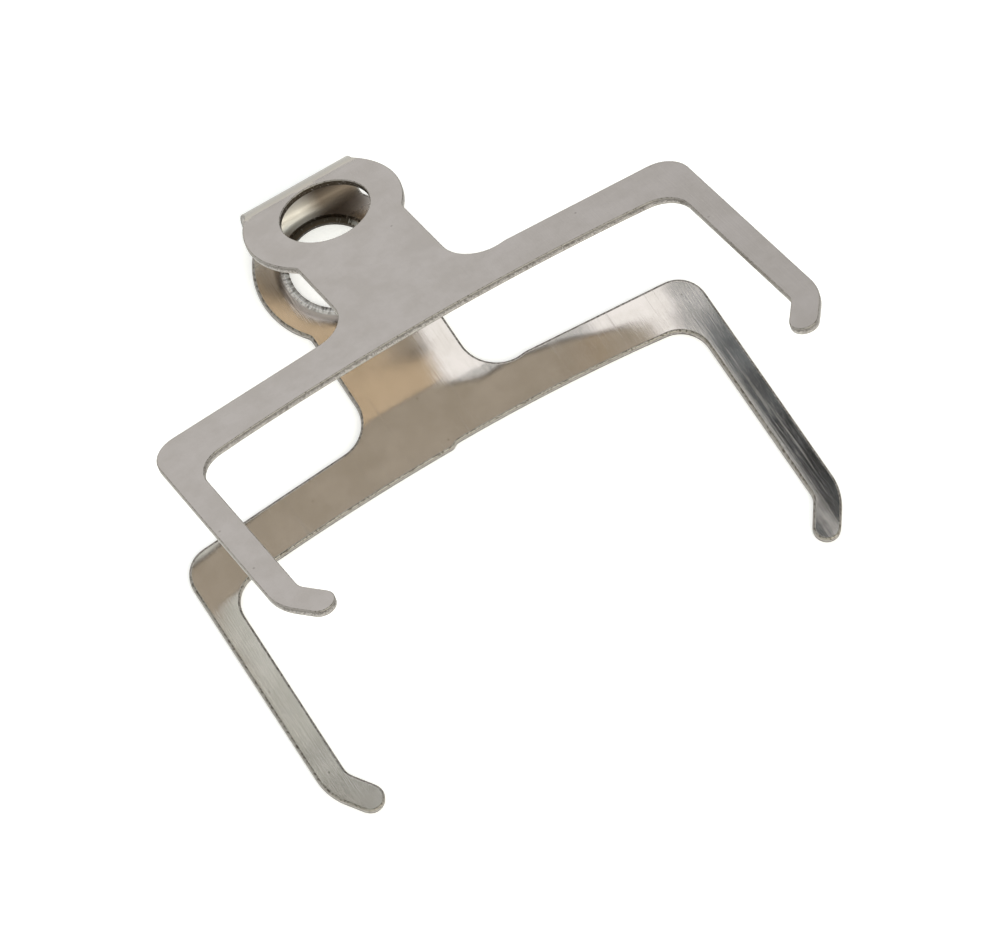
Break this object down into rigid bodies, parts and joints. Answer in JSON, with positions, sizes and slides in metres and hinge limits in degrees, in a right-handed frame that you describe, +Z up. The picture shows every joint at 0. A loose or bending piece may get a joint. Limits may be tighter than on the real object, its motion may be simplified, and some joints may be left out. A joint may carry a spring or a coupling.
{
  "type": "disc brake pad spring",
  "caption": "Folded spring steel clip that keeps disc brake pads apart: a V of T-shaped leaves with pin eyes, crossbars and hooked legs.",
  "frame": {"origin": "centre of the lower leaf's eye, on the outer face that the spring rests on", "axes": "+X along the crossbars, +Y from the legs towards the fold, +Z up out of the lower leaf's outer face towards the upper leaf"},
  "size_m": [0.0363, 0.0357, 0.0214],
  "materials": {
    "spring_steel": "satin"
  },
  "bodies": {
    "root": {"pad_spring": "spring_steel"}
  },
  "joints": []
}
